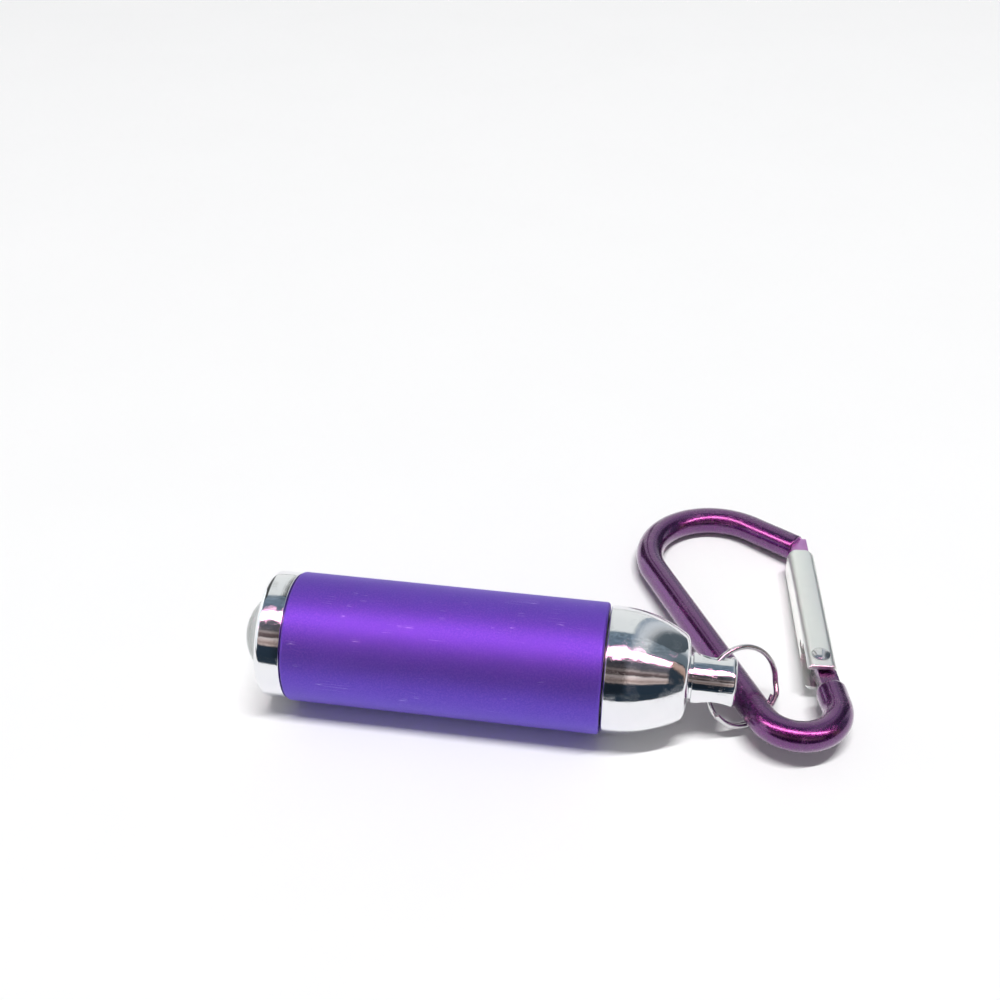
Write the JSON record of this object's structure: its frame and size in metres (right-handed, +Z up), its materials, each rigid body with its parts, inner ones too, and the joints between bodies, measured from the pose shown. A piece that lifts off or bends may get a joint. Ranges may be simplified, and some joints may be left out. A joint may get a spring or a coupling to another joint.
{
  "type": "keychain flashlight",
  "caption": "Small bullet-tailed keychain flashlight with a sliding focus sleeve, domed lens, split ring and snap-gate carabiner, lying on its side.",
  "frame": {"origin": "middle of the footprint of the whole object at rest, on the surface it lies on", "axes": "+X along the flashlight from the lens to the tail, +Z up, the carabiner lies towards +Y"},
  "size_m": [0.0798, 0.0522, 0.017],
  "materials": {
    "violet_anodised": "satin anodised aluminium",
    "chrome": "polished",
    "lens": "clear polished",
    "rubber": "matt",
    "black_plastic": "matt",
    "core_alloy": "turned",
    "steel": "nickel plated",
    "white_plastic": "matt",
    "led_yellow": "phosphor",
    "brass": "turned",
    "circuit_green": "lacquered",
    "cell_steel": "plated",
    "plum_anodised": "bright anodised aluminium",
    "gate_alloy": "bright satin"
  },
  "bodies": {
    "grip": {"barrel": "violet_anodised", "bezel": "chrome", "lens": "lens", "lens_seal": "rubber", "lens_retainer": "black_plastic"},
    "core": {"core_tube": "core_alloy", "stop_ring": "steel", "front_o_ring": "rubber", "rear_o_ring": "rubber", "led_collar": "white_plastic", "led_emitter": "led_yellow", "led_board": "white_plastic", "led_pill": "brass", "spacer_tube": "black_plastic", "driver_board": "circuit_green", "front_contact": "brass", "battery_sleeve": "white_plastic", "cell_front": "cell_steel", "cell_middle": "cell_steel", "cell_rear": "cell_steel"},
    "tail_feed": {"tail_spring": "steel"},
    "tail": {"tail_cap": "chrome", "tail_contact": "brass", "tail_post": "chrome"},
    "ring": {"split_ring": "steel"},
    "carabiner": {"carabiner_bar": "plum_anodised", "gate_rivet": "steel"},
    "gate": {"gate": "gate_alloy", "gate_spring": "steel"}
  },
  "joints": [
    {"name": "zoom_slide", "type": "slide", "parent": "grip", "child": "core", "axis": [1, 0, 0], "range_m": [0, 0.009]},
    {"name": "tail_feed", "type": "slide", "parent": "core", "child": "tail_feed", "axis": [1, 0, 0], "range_m": [0, 0.0031]},
    {"name": "tail_turn", "type": "hinge", "parent": "tail_feed", "child": "tail", "pos_m": [-0.0127, -0.01764, 0.0085], "axis": [1, 0, 0], "range_deg": [0, 1440]},
    {"name": "ring_swing", "type": "hinge", "parent": "tail", "child": "ring", "pos_m": [0.0218, -0.01764, 0.0085], "axis": [0, 0.6293, 0.7771], "range_deg": [-25, 20]},
    {"name": "clip_swing", "type": "hinge", "parent": "ring", "child": "carabiner", "pos_m": [0.02699, -0.01752, 0.00142], "axis": [0.8106, 0.5837, 0.0467], "range_deg": [-10, 8]},
    {"name": "gate_turn", "type": "hinge", "parent": "carabiner", "child": "gate", "pos_m": [0.03588, -0.0081, 0.00379], "axis": [-0.0139, 0.0484, 0.9987], "range_deg": [0, 28], "stiffness_Nm_per_rad": 0.01, "springref_deg": -28.65}
  ],
  "couplings": [
    {"joint": "tail_feed", "follows": "tail_turn", "m_per_rad": 0.00011937}
  ]
}
